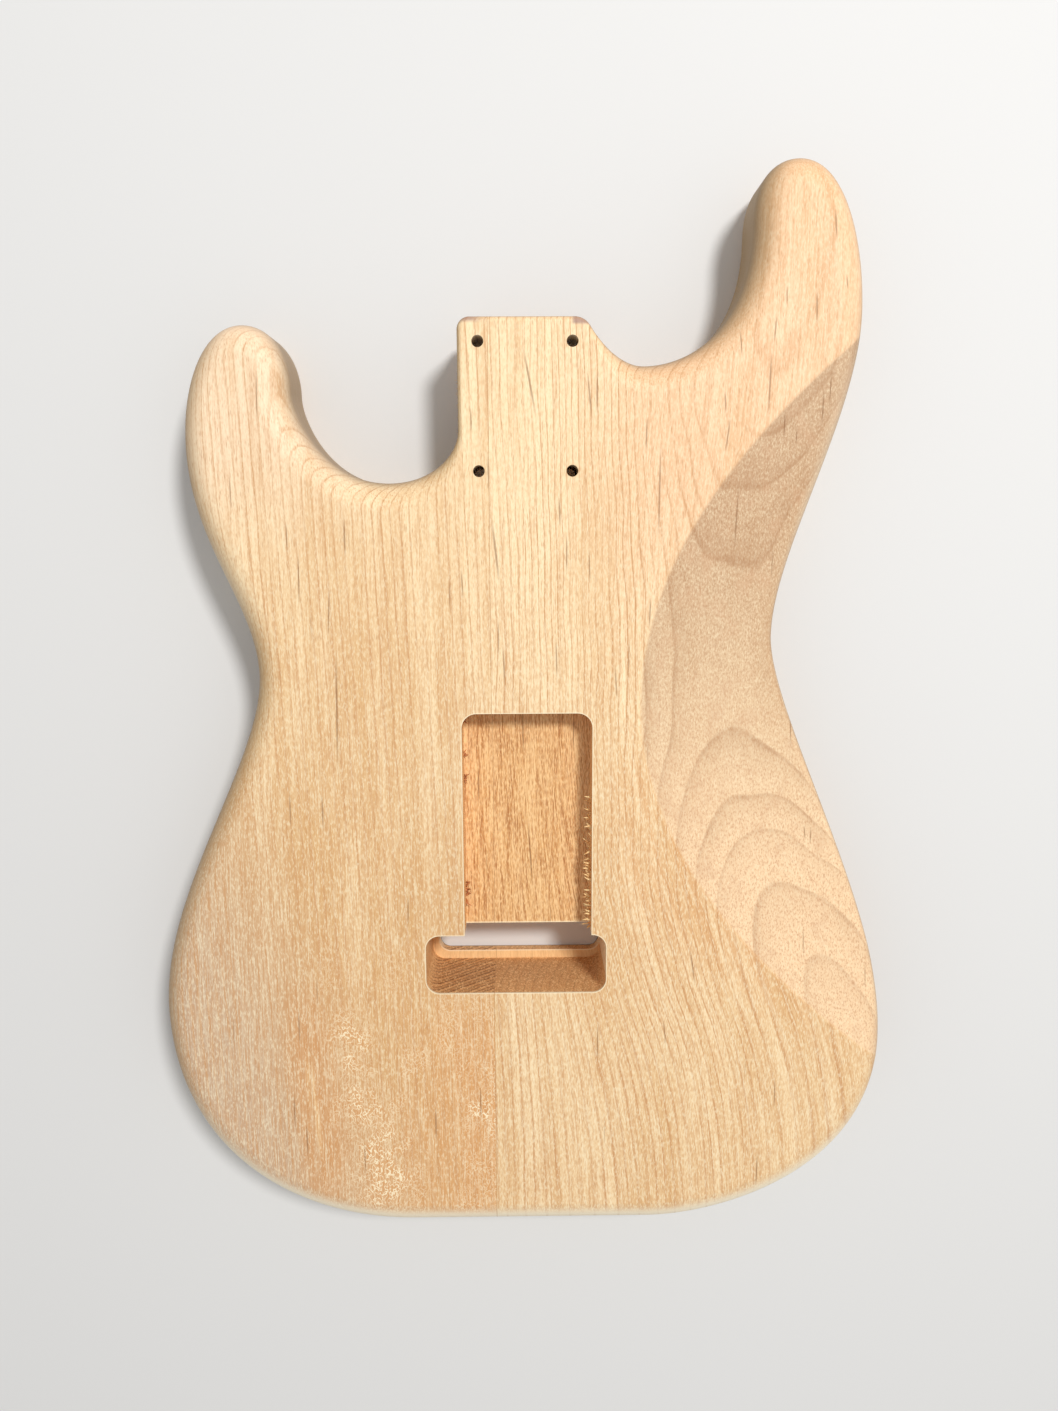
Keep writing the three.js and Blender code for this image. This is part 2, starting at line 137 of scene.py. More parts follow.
def outline():
    """Places, inward directions and rounding radii all round the body, anticlockwise from above."""
    stops = [edge_stop(*shares) for shares in bass_edge_shares]
    stops += heel_stops()
    stops += [edge_stop(*shares) for shares in treble_edge_shares]
    places, inwards, radii = [], [], []
    for start, end in zip(stops, stops[1:] + stops[:1]):
        chord = np.linalg.norm(end["place"] - start["place"])
        leaving = np.array([math.cos(start["heading"]), math.sin(start["heading"])])
        arriving = np.array([math.cos(end["heading"]), math.sin(end["heading"])])
        a = start["place"]
        b = a + leaving * start["after"] * chord
        d = end["place"]
        c = d - arriving * end["before"] * chord

        def along(share):
            t = share[:, None]
            place = (1 - t) ** 3 * a + 3 * (1 - t) ** 2 * t * b + 3 * (1 - t) * t**2 * c + t**3 * d
            run = (1 - t) ** 2 * (b - a) + 2 * (1 - t) * t * (c - b) + t**2 * (d - c)
            return place, run / np.linalg.norm(run, axis=1)[:, None]

        probe, heading = along(np.linspace(0, 1, 65))
        length = np.linalg.norm(np.diff(probe, axis=0), axis=1).sum()
        cross = heading[:-1, 0] * heading[1:, 1] - heading[:-1, 1] * heading[1:, 0]
        turned = np.abs(np.arcsin(np.clip(cross, -1, 1))).sum()
        facets = math.ceil(length / facet_length + turned / facet_turn)
        share = np.arange(facets) / facets
        place, heading = along(share)
        blend = share * share * (3 - 2 * share)
        places.append(place)
        inwards.append(np.stack([-heading[:, 1], heading[:, 0]], axis=1))
        radii.append(start["radius"] + (end["radius"] - start["radius"]) * blend)
    return np.concatenate(places), np.concatenate(inwards), np.concatenate(radii)


# Contour cuts
# The belly cut on the back and the forearm cut on the front are milled by a large drum whose axis dips
# outwards, and their rims are sanded round.
body_thickness = 44.45
rounding_steps = 14
sanded_radius = 3.5
sanding_allowance = 0.1
overrun = 20
belly_cut = {"back": True, "radius": 760, "dip": math.radians(9.5), "turn": 0, "start": (47, 98)}
forearm_cut = {
    "back": False, "radius": 1500, "dip": math.radians(9), "turn": math.radians(-34), "start": (98, -46),
}


def cut_depth(cut, place):
    """How deep the drum goes below its face at each place, negative where it passes clear."""
    offset = place - np.array(cut["start"])
    cos, sin = math.cos(cut["turn"]), math.sin(cut["turn"])
    x = offset[:, 0] * cos + offset[:, 1] * sin
    y = offset[:, 1] * cos - offset[:, 0] * sin
    rise = cut["radius"] - np.sqrt(cut["radius"] ** 2 - y**2)
    return x * math.tan(cut["dip"]) - rise / math.cos(cut["dip"])


def edge_ring(places, inwards, radii, cut, angle):
    """One ring of a rounded edge, at zero on the side wall and at a quarter turn on the face."""
    lost = np.maximum(0, cut_depth(cut, places))
    remaining = np.minimum(radii, np.maximum(sanded_radius, edge_radius - lost))
    at = places + inwards * (remaining * (1 - math.cos(angle)))[:, None]
    depth = np.maximum(0, cut_depth(cut, at)) + remaining * (1 - math.sin(angle))
    if angle == math.pi / 2:
        depth -= sanding_allowance
    height = body_thickness - depth if cut["back"] else depth
    return np.column_stack([at, height])


def solid(name, vertices, faces):
    """A closed mesh from points in millimetres."""
    mesh = bpy.data.meshes.new(name)
    mesh.from_pydata((np.asarray(vertices) * mm).tolist(), [], faces)
    made = bpy.data.objects.new(name, mesh)
    scene.collection.objects.link(made)
    return made


def loft(name, rings):
    """A closed solid through rings of equal count, with a flat face at each end."""
    count = len(rings[0])
    faces = [list(range(count))[::-1]]
    for level in range(len(rings) - 1):
        low, high = level * count, (level + 1) * count
        for i in range(count):
            j = (i + 1) % count
            faces.append([low + i, low + j, high + j, high + i])
    faces.append([(len(rings) - 1) * count + i for i in range(count)])
    return solid(name, np.concatenate(rings), faces)


def at_height(ring, height):
    return np.column_stack([ring[:, :2], np.full(len(ring), height)])


def carve(wood, cutter, operation="DIFFERENCE"):
    """Cuts one solid from another, or keeps what they share, and takes the cutter away."""
    cut = wood.modifiers.new("cut", "BOOLEAN")
    cut.operation = operation
    cut.solver = "MANIFOLD"
    cut.object = cutter
    evaluated = wood.evaluated_get(bpy.context.evaluated_depsgraph_get())
    mesh = bpy.data.meshes.new_from_object(evaluated)
    wood.modifiers.clear()
    wood.data = mesh
    bpy.data.objects.remove(cutter)


def block(low, high):
    """A plain block of stock between two corners."""
    x0, y0, z0 = low
    x1, y1, z1 = high
    ring = np.array([[x0, y0], [x1, y0], [x1, y1], [x0, y1]])
    return loft("stock", [at_height(ring, z0), at_height(ring, z1)])


drum_sides = 1400


def drum(cut):
    """The milling drum of a contour cut, as a faceted cylinder outside its true radius."""
    radius = cut["radius"] / math.cos(math.pi / drum_sides)
    angle = np.arange(drum_sides) / drum_sides * 2 * math.pi
    ends = []
    for x in (-body_length, body_length):
        ends.append(np.column_stack([np.full(drum_sides, x), np.cos(angle) * radius, np.sin(angle) * radius]))
    made = loft("drum", ends)
    up = 1 if cut["back"] else -1
    face = body_thickness if cut["back"] else 0
    rise = Matrix.Translation((0, 0, (face + up * cut["radius"] / math.cos(cut["dip"])) * mm))
    place = Matrix.Translation((cut["start"][0] * mm, cut["start"][1] * mm, 0))
    dip = Matrix.Rotation(up * cut["dip"], 4, "Y")
    made.data.transform(place @ Matrix.Rotation(cut["turn"], 4, "Z") @ rise @ dip)
    return made


def shaped_blank():
    places, inwards, radii = outline()
    angles = [step / rounding_steps * math.pi / 2 for step in range(rounding_steps + 1)]
    back = [edge_ring(places, inwards, radii, belly_cut, angle) for angle in angles]
    front = [edge_ring(places, inwards, radii, forearm_cut, angle) for angle in reversed(angles)]
    rings = [at_height(front[0], -overrun), *front, *back, at_height(back[-1], body_thickness + overrun)]
    blank = loft("blank", rings)
    far = body_length + body_width
    carve(blank, block((-far, -far, body_thickness), (far, far, body_thickness + 2 * overrun)))
    carve(blank, block((-far, -far, -2 * overrun), (far, far, 0)))
    carve(blank, drum(belly_cut))
    carve(blank, drum(forearm_cut))
    return blank


blank = shaped_blank()

# Routes
# Every hollow is routed into the joined blank with a straight cutter, so its inside corners are round. The
# spring cavity, the block route and its slot are cut from the back, and all the others from the front.
corner_steps = 10
hole_sides = 48
neck_pocket = {"width": 56, "length": 76.2, "depth": 15.9, "radius": 6.35}
neck_screws = {"across": (-19.05, 19.05), "along": (192.8, 243.6), "diameter": 4.8}
spring_cavity = {"width": 55.6, "reach": 92.4, "depth": 15.9, "radius": 6.35}
slot_wall = -6.3
block_route = {"width": 79.3, "length": 26.6, "x": -5.35, "lip": 5.3, "radius": 6}
block_slot = {"width": 75.8, "length": 22.5, "x": -3.8, "radius": 5}
pickup_route = {"width": 87, "length": 21, "depth": 19, "radius": 6.35}
neck_pickup_reach = 151.5
bridge_pickup_reach = 32
pickup_slants = {neck_pickup_reach: 0, 88: 0, bridge_pickup_reach: math.radians(10.5)}
wire_channel = {"width": 12.7, "x": -34, "depth": 14, "radius": 4}
control_cavity = {"width": 76, "length": 140, "x": -36, "reach": 74, "depth": 38, "radius": 9.5}
control_cavity_shares = [(0, 0.09), (0.6, 0), (1, 0.86), (0.8, 1), (0.4, 0.79), (0.23, 0.47), (0, 0.37)]
jack_route = {"width": 58, "length": 25, "depth": 30, "x": -121.5, "y": -78, "radius": 8}
jack_turn = math.radians(-62)
jack_wire_hole = {"height": 15, "diameter": 9.5, "end_shares": (0.7, 0.8)}
earth_wire_hole = {"x": -14, "y": 84, "diameter": 4, "end_shares": (0.4, 0.15)}


def rounded_outline(corners, radius):
    """The corners of a route, anticlockwise or clockwise, each rounded by the cutter."""
    corners = [np.array(corner, float) for corner in corners]
    points = []
    for i, corner in enumerate(corners):
        before = corners[i - 1] - corner
        after = corners[(i + 1) % len(corners)] - corner
        before /= np.linalg.norm(before)
        after /= np.linalg.norm(after)
        half = math.acos(float(before @ after)) / 2
        sweep = math.pi - 2 * half
        bisector = (before + after) / np.linalg.norm(before + after)
        centre = corner + bisector * radius / math.sin(half)
        start = corner + before * radius / math.tan(half) - centre
        end = corner + after * radius / math.tan(half) - centre
        for step in range(corner_steps + 1):
            share = step / corner_steps
            spoke = start * math.sin((1 - share) * sweep) + end * math.sin(share * sweep)
            points.append(centre + spoke / np.linalg.norm(spoke) * radius)
    area = sum(a[0] * b[1] - b[0] * a[1] for a, b in zip(points, points[1:] + points[:1]))
    return np.array(points if area > 0 else points[::-1])


def route(corners, radius, low, high):
    ring = rounded_outline(corners, radius)
    return loft("route", [at_height(ring, low), at_height(ring, high)])


def rectangle(width, length, x, y, turn=0):
    """Corners of a rectangle about a middle point."""
    corners = []
    for side, end in ((-1, -1), (1, -1), (1, 1), (-1, 1)):
        across, along = side * width / 2, end * length / 2
        corners.append((
            x + across * math.cos(turn) - along * math.sin(turn),
            y + across * math.sin(turn) + along * math.cos(turn),
        ))
    return corners


def control_place(across, along):
    """A place in the control cavity by its shares, from the corner by the pickups."""
    x = control_cavity["x"] - across * control_cavity["width"]
    return x, control_cavity["reach"] - along * control_cavity["length"]


def drilled(start, end, diameter):
    """A drill's path as a solid between two points."""
    start, end = Vector(start), Vector(end)
    angle = np.arange(hole_sides) / hole_sides * 2 * math.pi
    ring = np.column_stack([np.cos(angle), np.sin(angle)]) * diameter / 2
    made = loft("drill", [at_height(ring, 0), at_height(ring, (end - start).length)])
    turn = Vector((0, 0, 1)).rotation_difference(end - start).to_matrix().to_4x4()
    made.data.transform(Matrix.Translation(start * mm) @ turn)
    return made


top = body_thickness + overrun
pocket_wall = heel_reach - neck_pocket["length"]
pocket_length = heel_reach + overrun - pocket_wall
pocket = rectangle(neck_pocket["width"], pocket_length, 0, pocket_wall + pocket_length / 2)
carve(blank, route(pocket, neck_pocket["radius"], -overrun, neck_pocket["depth"]))
for x in neck_screws["across"]:
    for y in neck_screws["along"]:
        carve(blank, drilled((x, y, -overrun), (x, y, top), neck_screws["diameter"]))
cavity_end = slot_wall - block_route["radius"]
cavity_length = spring_cavity["reach"] - cavity_end
cavity_middle = cavity_end + cavity_length / 2
cavity = rectangle(spring_cavity["width"], cavity_length, 0, cavity_middle)
carve(blank, route(cavity, spring_cavity["radius"], body_thickness - spring_cavity["depth"], top))
block_middle = slot_wall - block_route["length"] / 2
block_corners = rectangle(block_route["width"], block_route["length"], block_route["x"], block_middle)
carve(blank, route(block_corners, block_route["radius"], block_route["lip"], top))
slot_middle = slot_wall - block_slot["length"] / 2
slot_corners = rectangle(block_slot["width"], block_slot["length"], block_slot["x"], slot_middle)
carve(blank, route(slot_corners, block_slot["radius"], -overrun, body_thickness / 2))
for reach, slant in pickup_slants.items():
    corners = rectangle(pickup_route["width"], pickup_route["length"], 0, reach, slant)
    carve(blank, route(corners, pickup_route["radius"], -overrun, pickup_route["depth"]))
channel_length = neck_pickup_reach - bridge_pickup_reach
channel_middle = (neck_pickup_reach + bridge_pickup_reach) / 2
channel = rectangle(wire_channel["width"], channel_length, wire_channel["x"], channel_middle)
carve(blank, route(channel, wire_channel["radius"], -overrun, wire_channel["depth"]))
controls = [control_place(*share) for share in control_cavity_shares]
carve(blank, route(controls, control_cavity["radius"], -overrun, control_cavity["depth"]))
jack_middle = (jack_route["x"], jack_route["y"])
jack_corners = rectangle(jack_route["width"], jack_route["length"], *jack_middle, jack_turn)
carve(blank, route(jack_corners, jack_route["radius"], -overrun, jack_route["depth"]))
wire_height = jack_wire_hole["height"]
wire_end = (*control_place(*jack_wire_hole["end_shares"]), wire_height)
carve(blank, drilled((*jack_middle, wire_height), wire_end, jack_wire_hole["diameter"]))
wire_height = (body_thickness - spring_cavity["depth"] + control_cavity["depth"]) / 2
wire_start = (earth_wire_hole["x"], earth_wire_hole["y"], wire_height)
wire_end = (*control_place(*earth_wire_hole["end_shares"]), wire_height)
carve(blank, drilled(wire_start, wire_end, earth_wire_hole["diameter"]))

# Treble board
# The narrower of the two alder boards, on the treble side of the seam. Its grain runs nearly straight, with a
# flame and curly figure by the tail, and it was thicknessed and sanded with its mate after gluing.
seam = -15
glue_thickness = 0.2
far = body_length
arris_radius = 0.35
arris_steps = 2
arris_angle = math.radians(40)
crease_angle = math.radians(7)
pale_wood = (254, 226, 181)
tan_wood = (223, 178, 122)
late_wood = (208, 156, 106)
pore_brown = (188, 134, 86)
fleck_brown = (138, 92, 56)
glint_wood = (255, 240, 204)
end_brown = (200, 142, 88)
end_dark = (110, 58, 26)
side_shade_tan = (154, 130, 102)
shadow_tan = (142, 114, 66)
routed_brown = (232, 170, 98)
torn_pale = (255, 214, 156)
torn_dark = (176, 112, 60)
scorched = (168, 134, 122)
curl_wood = (255, 236, 198)
dull_wood = (195, 171, 151)
pink_wood = (252, 222, 192)
painted_tail_light = (255, 242, 214)
flame_orange = (226, 160, 96)
arris_highlight = (255, 240, 206)


def portion(name, low_x, high_x, low_y=-far, high_y=far):
    """What the blank has between two places across and two along."""
    made = bpy.data.objects.new(name, blank.data.copy())
    scene.collection.objects.link(made)
    carve(made, block((low_x, low_y, -overrun), (high_x, high_y, top)), "INTERSECT")
    return made


def finished(made, node, material):
    """Breaks the sharp arrises as sandpaper does, shades the wood smooth, and lets it stand for its node."""
    for polygon in made.data.polygons:
        polygon.use_smooth = True
    arris = made.modifiers.new("arris", "BEVEL")
    arris.limit_method = "ANGLE"
    arris.angle_limit = arris_angle
    arris.width = arris_radius * mm
    arris.segments = arris_steps
    arris.use_clamp_overlap = True
    normals = made.modifiers.new("normals", "WEIGHTED_NORMAL")
    normals.keep_sharp = True
    normals.weight = 100
    made.data.set_sharp_from_angle(angle=crease_angle)
    made.data.materials.clear()
    made.data.materials.append(material)
    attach(made, "root")
    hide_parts(node)


class Place:
    """A number that changes from place to place in the wood. A sum of such numbers is a node."""

    def __init__(self, tree, socket):
        self.tree = tree
        self.socket = socket

    def step(self, operation, *others):
        node = self.tree.nodes.new("ShaderNodeMath")
        node.operation = operation
        for port, value in zip(node.inputs, (self, *others)):
            if isinstance(value, Place):
                self.tree.links.new(value.socket, port)
            else:
                port.default_value = value
        return Place(self.tree, node.outputs[0])

    def __add__(self, other):
        return self.step("ADD", other)

    def __sub__(self, other):
        return self.step("SUBTRACT", other)

    def __mul__(self, other):
        return self.step("MULTIPLY", other)

    def __truediv__(self, other):
        return self.step("DIVIDE", other)

    def squared(self):
        return self * self

    def size(self):
        return self.step("ABSOLUTE")

    def above(self, floor, soft):
        """How far it rises above a floor, with a soft turn."""
        return (self - floor).step("SMOOTH_MAX", 0, soft)

    def ramp(self, low, high, from_value=0, to_value=1):
        """Rises smoothly from one value to another between two bounds."""
        node = self.tree.nodes.new("ShaderNodeMapRange")
        node.interpolation_type = "SMOOTHSTEP"
        self.tree.links.new(self.socket, node.inputs["Value"])
        bounds = {"From Min": low, "From Max": high, "To Min": from_value, "To Max": to_value}
        for port, value in bounds.items():
            node.inputs[port].default_value = value
        return Place(self.tree, node.outputs["Result"])

    def between(self, low, high, soft):
        """One inside two bounds and zero outside them, with soft ends."""
        return self.ramp(low - soft, low) * self.ramp(high, high + soft, 1, 0)


def parts_of(tree, socket, scale=1):
    """The three numbers of a place or direction."""
    node = tree.nodes.new("ShaderNodeSeparateXYZ")
    tree.links.new(socket, node.inputs[0])
    return [Place(tree, node.outputs[i]) * scale for i in range(3)]


def texture(kind, x, y, z, sizes):
    """A texture node that fills the wood, with lumps of the given sizes in millimetres."""
    tree = x.tree
    node = tree.nodes.new(kind)
    node.inputs["Scale"].default_value = 1
    place = tree.nodes.new("ShaderNodeCombineXYZ")
    for port, value, size in zip(place.inputs, (x, y, z), sizes):
        tree.links.new((value / size).socket, port)
    tree.links.new(place.outputs[0], node.inputs["Vector"])
    return node


def noise(x, y, z, sizes, detail=2, roughness=0.5):
    """Cloudy noise from zero to one."""
    node = texture("ShaderNodeTexNoise", x, y, z, sizes)
    node.inputs["Detail"].default_value = detail
    node.inputs["Roughness"].default_value = roughness
    return Place(x.tree, node.outputs["Fac"])


def cells(x, y, z, sizes):
    """Scattered cells: the distance from the middle of each, and a random number for it."""
    node = texture("ShaderNodeTexVoronoi", x, y, z, sizes)
    pick = x.tree.nodes.new("ShaderNodeSeparateColor")
    x.tree.links.new(node.outputs["Color"], pick.inputs["Color"])
    return Place(x.tree, node.outputs["Distance"]), Place(x.tree, pick.outputs[0])


def paint(colour):
    """A colour as a paint chart gives it, from 0 to 255, for a shader."""
    shades = [value / 255 for value in colour]
    return [*(s / 12.92 if s <= 0.04045 else ((s + 0.055) / 1.055) ** 2.4 for s in shades), 1]


def mixed(under, over, share):
    """One colour over another by a share that changes from place to place."""
    node = share.tree.nodes.new("ShaderNodeMix")
    node.data_type = "RGBA"
    share.tree.links.new(share.socket, node.inputs["Factor"])
    for port, colour in ((node.inputs[6], under), (node.inputs[7], over)):
        if isinstance(colour, tuple):
            port.default_value = paint(colour)
        else:
            share.tree.links.new(colour, port)
    return node.outputs[2]


def fleck(x, y, start, end, width):
    """How much of a dark fleck shows, between two places on the back face, with tapered ends."""
    lean = (end[0] - start[0]) / (end[1] - start[1])
    off = (x - y * lean - (start[0] - start[1] * lean)).size()
    along = (y - (start[1] + end[1]) / 2) / ((start[1] - end[1]) / 2)
    return off.ramp(width * 0.3, width, 1, 0) * along.size().ramp(0.2, 1, 1, 0)


def from_edge(x, y, cut, length, middle_x, middle_y):
    """How far a place is outside the round-cornered edge of a route."""
    radius = cut["radius"]
    off_x = ((x - middle_x).size() - (cut["width"] / 2 - radius)).step("MAXIMUM", 0)
    off_y = ((y - middle_y).size() - (length / 2 - radius)).step("MAXIMUM", 0)
    return (off_x.squared() + off_y.squared()).step("SQRT") - radius


# Boxes round the routed hollows, across, along and in height. The faces of the body stay outside them.
routed_bottom = 0.8
back_hollow = ((-45.3, 34.6), (-33.2, 92.7), (routed_bottom, 43.5))
jack_hollow = ((-29.2, 29.2), (-12.7, 12.7), (routed_bottom, 30.2))
front_hollows = (
    ((-43.7, 43.7), (20, 165), 19.2),
    ((-28.2, 28.2), (165, 262), 16.1),
    ((-112.3, -35.7), (-66.3, 58), 38.2),
    ((-84, -35.7), (58, 74.3), 38.2),
)


def hollow(x, y, z, across_span, along_span, height_span):
    """One on the walls and floor of the routes inside a box, and zero outside it."""
    inside = x.between(*across_span, 0.2) * y.between(*along_span, 0.2)
    return inside * z.between(*height_span, 0.3)


def alder(name, reach, ground, figure, marks, ring_width, ring_strength, end_strength):
    """Bare sanded alder: growth rings, fibres, pores, flecks, end grain and freshly routed hollows. Painted
    light lifts the tail ends and the block route's ledge, painted shade darkens the sides, and a painted
    highlight runs along the routes' arrises.
    """
    material = bpy.data.materials.new(name)
    material.use_nodes = True
    tree = material.node_tree
    shader = tree.nodes["Principled BSDF"]
    x, y, z = parts_of(tree, tree.nodes.new("ShaderNodeTexCoord").outputs["Object"], 1 / mm)
    facing = parts_of(tree, tree.nodes.new("ShaderNodeNewGeometry").outputs["Normal"])

    wander = noise(x, y, z, (60, 260, 60)) * 3
    shiver = noise(x, y, z, (4, 30, 4)) * 1.2
    along, across = reach(x + wander + shiver - 2.1, y, z)
    ring = across / ring_width
    year = noise(ring.step("FLOOR"), y, z, (0.37, 160, 200)).ramp(0.4, 0.6, 0.65, 1)
    horn = y.ramp(165, 215) * x.ramp(45, 75)
    fade = noise(x, y, z, (12, 90, 12)).ramp(0.35, 0.65, 0.4, 1) * (horn * -0.6 + 1) * ring_strength
    share = ring.step("FRACT")
    band = share.ramp(0.3, 0.9) * share.ramp(0.93, 1, 1, 0) * year
    line = share.ramp(0.82, 0.93) * share.ramp(0.95, 1, 1, 0) * year
    half = (ring * 2).step("FRACT")
    thin = half.ramp(0.68, 0.86) * half.ramp(0.89, 0.97, 1, 0)
    cloud = noise(x, y, z, (34, 150, 34), 3)
    broad = noise(along, y, z, (7, 170, 7))
    streak = noise(along, y, z, (1.9, 80, 1.9))
    fibre = noise(along, y, z, (0.72, 26, 0.72), 2, 0.6)
    dash = noise(x, y, z, (0.48, 1.9, 0.48), 1)
    coarse = y.ramp(230, 40, 0.65, 1)

    shade = cloud.ramp(0.3, 0.7, -0.2, 0.2) + broad.ramp(0.35, 0.65, -0.16, 0.16)
    colour = ground(x, y, z, shade, streak)
    colour = mixed(colour, late_wood, band * fade * 0.14)
    colour = mixed(colour, late_wood, (line * 0.5).step("MAXIMUM", thin * 0.72) * fade)
    colour = mixed(colour, late_wood, streak.ramp(0.5, 0.7, 0, 0.2))
    colour = mixed(colour, late_wood, fibre.ramp(0.5, 0.7, 0, 0.55) * coarse)
    colour = mixed(colour, glint_wood, fibre.ramp(0.5, 0.3, 0, 0.32) * coarse)
    colour = mixed(colour, late_wood, dash.ramp(0.5, 0.68, 0, 0.36) * coarse)
    colour = mixed(colour, glint_wood, dash.ramp(0.5, 0.32, 0, 0.45) * coarse)
    distance, lot = cells(x, y, z, (0.8, 5, 0.8))
    pores = distance.ramp(0.1, 0.35, 1, 0) * lot.ramp(0.4, 0.5)
    colour = mixed(colour, pore_brown, pores * 0.42)
    distance, lot = cells(x + wander, y, z, (1.7, 36, 14))
    flecks = distance.ramp(0.1, 0.28, 1, 0) * lot.ramp(0.95, 0.96)
    inside = hollow(x, y, z, *back_hollow)
    upper = z.ramp(body_thickness - 14, body_thickness - 12).step("MAXIMUM", inside * z.ramp(20, 24))
    flecks = flecks.step("MAXIMUM", marks(x, y) * upper)
    colour = figure(x, y, z, band, line, colour)

    routed = inside
    for across_span, along_span, depth in front_hollows:
        front = hollow(x, y, z, across_span, along_span, (routed_bottom, depth))
        routed = routed.step("MAXIMUM", front)
    from_jack, beyond_jack = x - jack_route["x"], y - jack_route["y"]
    cos, sin = math.cos(jack_turn), math.sin(jack_turn)
    jack_across = from_jack * cos + beyond_jack * sin
    jack_along = beyond_jack * cos - from_jack * sin
    routed = routed.step("MAXIMUM", hollow(jack_across, jack_along, z, *jack_hollow))
    outside = routed * -1 + 1
    ends = facing[1].size().ramp(0.4, 0.95)
    sides = facing[2].size().ramp(0.05, 0.8, 1, 0)
    colour = mixed(colour, routed_brown, routed * 0.55)
    torn = noise(along, y, z, (0.6, 18, 0.6), 3, 0.65)
    nib = noise(x, y, z, (0.5, 2.4, 0.5), 1)
    colour = mixed(colour, torn_dark, routed * torn.ramp(0.5, 0.34, 0, 0.85))
    colour = mixed(colour, torn_pale, routed * torn.ramp(0.5, 0.66, 0, 0.9))
    colour = mixed(colour, torn_dark, routed * nib.ramp(0.5, 0.3, 0, 0.4))
    colour = mixed(colour, torn_pale, routed * nib.ramp(0.5, 0.68, 0, 0.75))
    colour = mixed(colour, torn_dark, routed * line * (ends * -1 + 1) * 0.3)
    # Painted light: the block route's low ledge, under the route's deep walls, is lightened towards pale.
    colour = mixed(colour, torn_pale, routed * z.ramp(6.4, 5.6, 0, 0.7))
    colour = mixed(colour, end_brown, ends * routed * 0.5)
    rings = (band * 0.4 + line * 0.6).step("MAXIMUM", thin * 0.9)
    colour = mixed(colour, end_dark, ends * rings * routed * end_strength)
    pits = noise(x, y, z, (0.6, 2, 1.2), 1)
    colour = mixed(colour, torn_pale, ends * routed * pits.ramp(0.54, 0.68, 0, 0.65))
    colour = mixed(colour, end_dark, ends * routed * pits.ramp(0.46, 0.32, 0, 0.14))
    tail_end = (facing[1] * -1).ramp(0.1, 0.6) * outside
    neck_end = facing[1].ramp(0.15, 0.8) * outside
    # Painted light: the faces towards the tail turn away from the lamp, and they are lightened almost to
    # white.
    colour = mixed(colour, painted_tail_light, tail_end * 0.9)
    colour = mixed(colour, end_brown, neck_end * x.ramp(-60, 0, 0, 0.22))
    colour = mixed(colour, torn_dark, ends * line * outside * 0.3)
    # Painted shade: the sideways-facing walls and roundovers outside the routes are darkened to a tan, less
    # on faces towards the tail; faces towards the treble side get a further painted shadow tan.
    colour = mixed(colour, side_shade_tan, sides * outside * (tail_end * -0.86 + 0.86))
    colour = mixed(colour, pink_wood, neck_end * x.ramp(-60, -100, 0, 0.35) * z.ramp(28, 36))
    colour = mixed(colour, shadow_tan, (facing[0] * -1).ramp(0.2, 0.85) * outside * (tail_end * -0.45 + 0.45))
    colour = mixed(colour, fleck_brown, flecks * 0.6)
    # Painted highlight: a pale line along the arrises round the spring cavity and the block route, and along
    # the slot's lip.
    cavity_edge = from_edge(x, y, spring_cavity, cavity_length, 0, cavity_middle)
    block_edge = from_edge(x, y, block_route, block_route["length"], block_route["x"], block_middle)
    slot_edge = from_edge(x, y, block_slot, block_slot["length"], block_slot["x"], slot_middle)
    rim_highlight = cavity_edge.step("MINIMUM", block_edge).between(-0.4, 0.35, 0.15) * z.ramp(43.4, 43.9)
    lip = slot_edge.between(-0.4, 0.5, 0.15) * routed * (ends * -1 + 1)
    colour = mixed(colour, arris_highlight, rim_highlight.step("MAXIMUM", lip) * 0.6)
    tree.links.new(colour, shader.inputs["Base Color"])
    rough = fibre * 0.15 + routed * 0.12 + 0.45
    tree.links.new(rough.socket, shader.inputs["Roughness"])
    shader.inputs["Specular IOR Level"].default_value = 0.3
    bump = tree.nodes.new("ShaderNodeBump")
    bump.inputs["Strength"].default_value = 0.6
    bump.inputs["Distance"].default_value = 0.1 * mm
    height = fibre + dash * 0.8 - pores * 0.6 - flecks * 0.6 + routed * torn * 2.4
    tree.links.new(height.socket, bump.inputs["Height"])
    tree.links.new(bump.outputs[0], shader.inputs["Normal"])
    return material


def treble_reach(x, y, z):
    """The fibres run straight, and the rings lean across the board, towards the seam from back to front."""
    return x, x * 0.8 + z * 0.95 + y * 0.03


def treble_ground(x, y, z, shade, streak):
    """Pinkish on the horn, tan towards the tail, grey by the lower edge, with a flame and an orange strip."""
    # The tan towards the tail and the grey by the lower treble edge are partly the board's own tone and
    # partly painted shade.
    shade = shade + y.ramp(300, -130, 0, 1.14)
    colour = mixed(pale_wood, pink_wood, y.ramp(140, 210) * x.ramp(-50, -105, 0, 0.6))
    colour = mixed(colour, tan_wood, shade.step("MAXIMUM", 0))
    colour = mixed(colour, dull_wood, (x * -1 - y * 0.35).ramp(75, 170, 0, 0.74))
    swell = noise(x, y, z, (26, 60, 26)) * 22 - 11
    middle = (y * -1 - 50).ramp(0, 75) * 5 - 101
    flame = (x - middle + swell * 0.5 - 3).size().ramp(3, 15, 1, 0) * y.ramp(-22, -60) * y.ramp(-145, -110)
    colour = mixed(colour, flame_orange, flame * streak.ramp(0.35, 0.6, 0.45, 0.8))
    colour = mixed(colour, late_wood, flame * 0.45)
    core = (x - middle - 2 + streak * 5 - 2.5).size().ramp(0.3, 2.6, 1, 0) * y.between(-98, -74, 18)
    colour = mixed(colour, torn_pale, core * 0.5)
    strip = (x + swell).ramp(-70, -26) * (y + swell).ramp(-20, -60) * streak.ramp(0.35, 0.6, 0.38, 0.7)
    return mixed(colour, flame_orange, strip)


curly_patches = ((-80, -56, 16), (-73, -84, 16), (-66, -116, 25), (-20, -88, 16))


